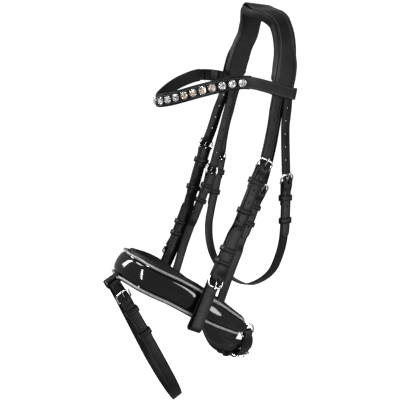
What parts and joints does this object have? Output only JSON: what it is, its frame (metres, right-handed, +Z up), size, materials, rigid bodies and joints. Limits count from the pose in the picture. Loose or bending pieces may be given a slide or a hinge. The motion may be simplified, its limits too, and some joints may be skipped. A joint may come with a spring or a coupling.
{
  "type": "snaffle bridle",
  "caption": "Padded leather snaffle bridle without bit or reins: crown, crystal browband, cheekpieces, throatlash and a glossy flash noseband.",
  "frame": {"origin": "middle of the crown pad's underside, where it rests on the horse's poll", "axes": "+X to the horse's left (near side), -Y forward to its nose, +Z up"},
  "size_m": [0.1837, 0.272, 0.5616],
  "materials": {
    "bridle_leather": "satin, smooth grain, stitched edges",
    "soft_lining": "soft padded lining, fine matt grain",
    "patent_leather": "patent, mirror gloss",
    "grey_piping": "metallic grey satin",
    "silver_metal": "polished silver-coloured",
    "crystal": "faceted, clear, foiled back"
  },
  "bodies": {
    "crown": {"headpiece": "bridle_leather", "crown_pad": "soft_lining", "sliphead_crown": "bridle_leather", "browband": "bridle_leather", "browband_lining": "soft_lining", "crystal_cups": "silver_metal", "crystals": "crystal"},
    "cheek_left": {"cheek_billet_left": "bridle_leather", "cheekpiece_left": "bridle_leather", "cheek_buckle_left": "silver_metal", "cheek_keeper_left": "bridle_leather", "bit_chape_left": "bridle_leather", "bit_buckle_left": "silver_metal"},
    "cheek_tongue_left": {"cheek_tongue_left": "silver_metal"},
    "bit_tongue_left": {"bit_tongue_left": "silver_metal"},
    "cheek_runner_left": {"cheek_runner_left": "bridle_leather"},
    "cheek_right": {"cheek_billet_right": "bridle_leather", "cheekpiece_right": "bridle_leather", "cheek_buckle_right": "silver_metal", "cheek_keeper_right": "bridle_leather", "bit_chape_right": "bridle_leather", "bit_buckle_right": "silver_metal"},
    "cheek_tongue_right": {"cheek_tongue_right": "silver_metal"},
    "bit_tongue_right": {"bit_tongue_right": "silver_metal"},
    "cheek_runner_right": {"cheek_runner_right": "bridle_leather"},
    "noseband": {"sliphead_billet_left": "bridle_leather", "sliphead_billet_right": "bridle_leather", "sliphead_strap_left": "bridle_leather", "sliphead_strap_right": "bridle_leather", "sliphead_buckles": "silver_metal", "sliphead_keepers": "bridle_leather", "noseband_front": "patent_leather", "noseband_piping": "grey_piping", "noseband_lining": "soft_lining", "ring_chapes": "bridle_leather", "jaw_rings": "silver_metal", "flash_tab": "bridle_leather"},
    "throatlash": {"throat_billet_left": "bridle_leather", "throat_billet_right": "bridle_leather", "throat_buckle_left": "silver_metal", "throat_buckle_right": "silver_metal", "throat_keeper_left": "bridle_leather", "throat_keeper_right": "bridle_leather", "throatlash": "bridle_leather"},
    "throat_tongue_left": {"throat_tongue_left": "silver_metal"},
    "throat_runner_left": {"throat_runner_left": "bridle_leather"},
    "throat_tongue_right": {"throat_tongue_right": "silver_metal"},
    "throat_runner_right": {"throat_runner_right": "bridle_leather"},
    "flash": {"flash_strap": "bridle_leather", "flash_buckle": "silver_metal", "flash_keeper": "bridle_leather"},
    "flash_tongue": {"flash_tongue": "silver_metal"},
    "flash_runner": {"flash_runner": "bridle_leather"},
    "jaw": {"jaw_strap": "bridle_leather", "jaw_billet": "bridle_leather", "chin_pad": "soft_lining", "jaw_buckle": "silver_metal", "jaw_keeper": "bridle_leather"},
    "jaw_tongue": {"jaw_tongue": "silver_metal"}
  },
  "joints": [
    {"name": "cheek_swing_left", "type": "hinge", "parent": "crown", "child": "cheek_left", "pos_m": [0.064, -0.017, -0.102], "axis": [1, 0, 0], "range_deg": [-5, 4]},
    {"name": "cheek_swing_right", "type": "hinge", "parent": "crown", "child": "cheek_right", "pos_m": [-0.064, -0.017, -0.102], "axis": [1, 0, 0], "range_deg": [-5, 4]},
    {"name": "noseband_swing", "type": "hinge", "parent": "crown", "child": "noseband", "pos_m": [0, -0.009, -0.102], "axis": [1, 0, 0], "range_deg": [-4, 4]},
    {"name": "throatlash_swing", "type": "hinge", "parent": "crown", "child": "throatlash", "pos_m": [0, 0.0015, -0.102], "axis": [1, 0, 0], "range_deg": [-2, 12]},
    {"name": "cheek_tongue_left_rock", "type": "hinge", "parent": "cheek_left", "child": "cheek_tongue_left", "pos_m": [0.07775, -0.0477, -0.19133], "axis": [0.0305, 0.8819, -0.4704], "range_deg": [0, 12]},
    {"name": "bit_tongue_left_rock", "type": "hinge", "parent": "cheek_left", "child": "bit_tongue_left", "pos_m": [0.07741, -0.11725, -0.33301], "axis": [0.0066, 0.8815, -0.4721], "range_deg": [-12, 0]},
    {"name": "throat_tongue_left_rock", "type": "hinge", "parent": "throatlash", "child": "throat_tongue_left", "pos_m": [0.08517, -0.01339, -0.21469], "axis": [-0.0237, 0.9984, -0.0509], "range_deg": [0, 12]},
    {"name": "cheek_runner_left_slide", "type": "slide", "parent": "cheek_left", "child": "cheek_runner_left", "axis": [-0.0254, -0.4049, -0.914], "range_m": [-0.007, 0.007]},
    {"name": "throat_runner_left_slide", "type": "slide", "parent": "throatlash", "child": "throat_runner_left", "axis": [-0.031, 0.0022, -0.9995], "range_m": [-0.006, 0.006]},
    {"name": "cheek_tongue_right_rock", "type": "hinge", "parent": "cheek_right", "child": "cheek_tongue_right", "pos_m": [-0.0778, -0.04421, -0.19257], "axis": [-0.0183, 0.9465, -0.3221], "range_deg": [-12, 0]},
    {"name": "bit_tongue_right_rock", "type": "hinge", "parent": "cheek_right", "child": "bit_tongue_right", "pos_m": [-0.07747, -0.10223, -0.33931], "axis": [-0.0069, 0.9055, -0.4243], "range_deg": [0, 12]},
    {"name": "throat_tongue_right_rock", "type": "hinge", "parent": "throatlash", "child": "throat_tongue_right", "pos_m": [-0.08404, -0.01306, -0.21508], "axis": [0.0117, 0.9901, -0.1401], "range_deg": [-12, 0]},
    {"name": "cheek_runner_right_slide", "type": "slide", "parent": "cheek_right", "child": "cheek_runner_right", "axis": [0.0216, -0.3456, -0.9381], "range_m": [-0.007, 0.007]},
    {"name": "throat_runner_right_slide", "type": "slide", "parent": "throatlash", "child": "throat_runner_right", "axis": [-0.0161, -0.2299, -0.9731], "range_m": [-0.006, 0.006]},
    {"name": "flash_swing", "type": "hinge", "parent": "noseband", "child": "flash", "pos_m": [0, -0.235, -0.341], "axis": [1, 0, 0], "range_deg": [-3, 3]},
    {"name": "flash_tongue_rock", "type": "hinge", "parent": "flash", "child": "flash_tongue", "pos_m": [0.01475, -0.22313, -0.36492], "axis": [0, 0.9029, 0.4299], "range_deg": [0, 12]},
    {"name": "flash_runner_slide", "type": "slide", "parent": "flash", "child": "flash_runner", "axis": [0.0812, 0.4285, -0.8999], "range_m": [-0.008, 0.008]},
    {"name": "jaw_swing", "type": "hinge", "parent": "noseband", "child": "jaw", "pos_m": [0, -0.056, -0.431], "axis": [1, 0, 0], "range_deg": [-8, 20]},
    {"name": "jaw_tongue_rock", "type": "hinge", "parent": "jaw", "child": "jaw_tongue", "pos_m": [0.04158, -0.05775, -0.47351], "axis": [-0.084, 0.9958, -0.0364], "range_deg": [0, 12]}
  ]
}
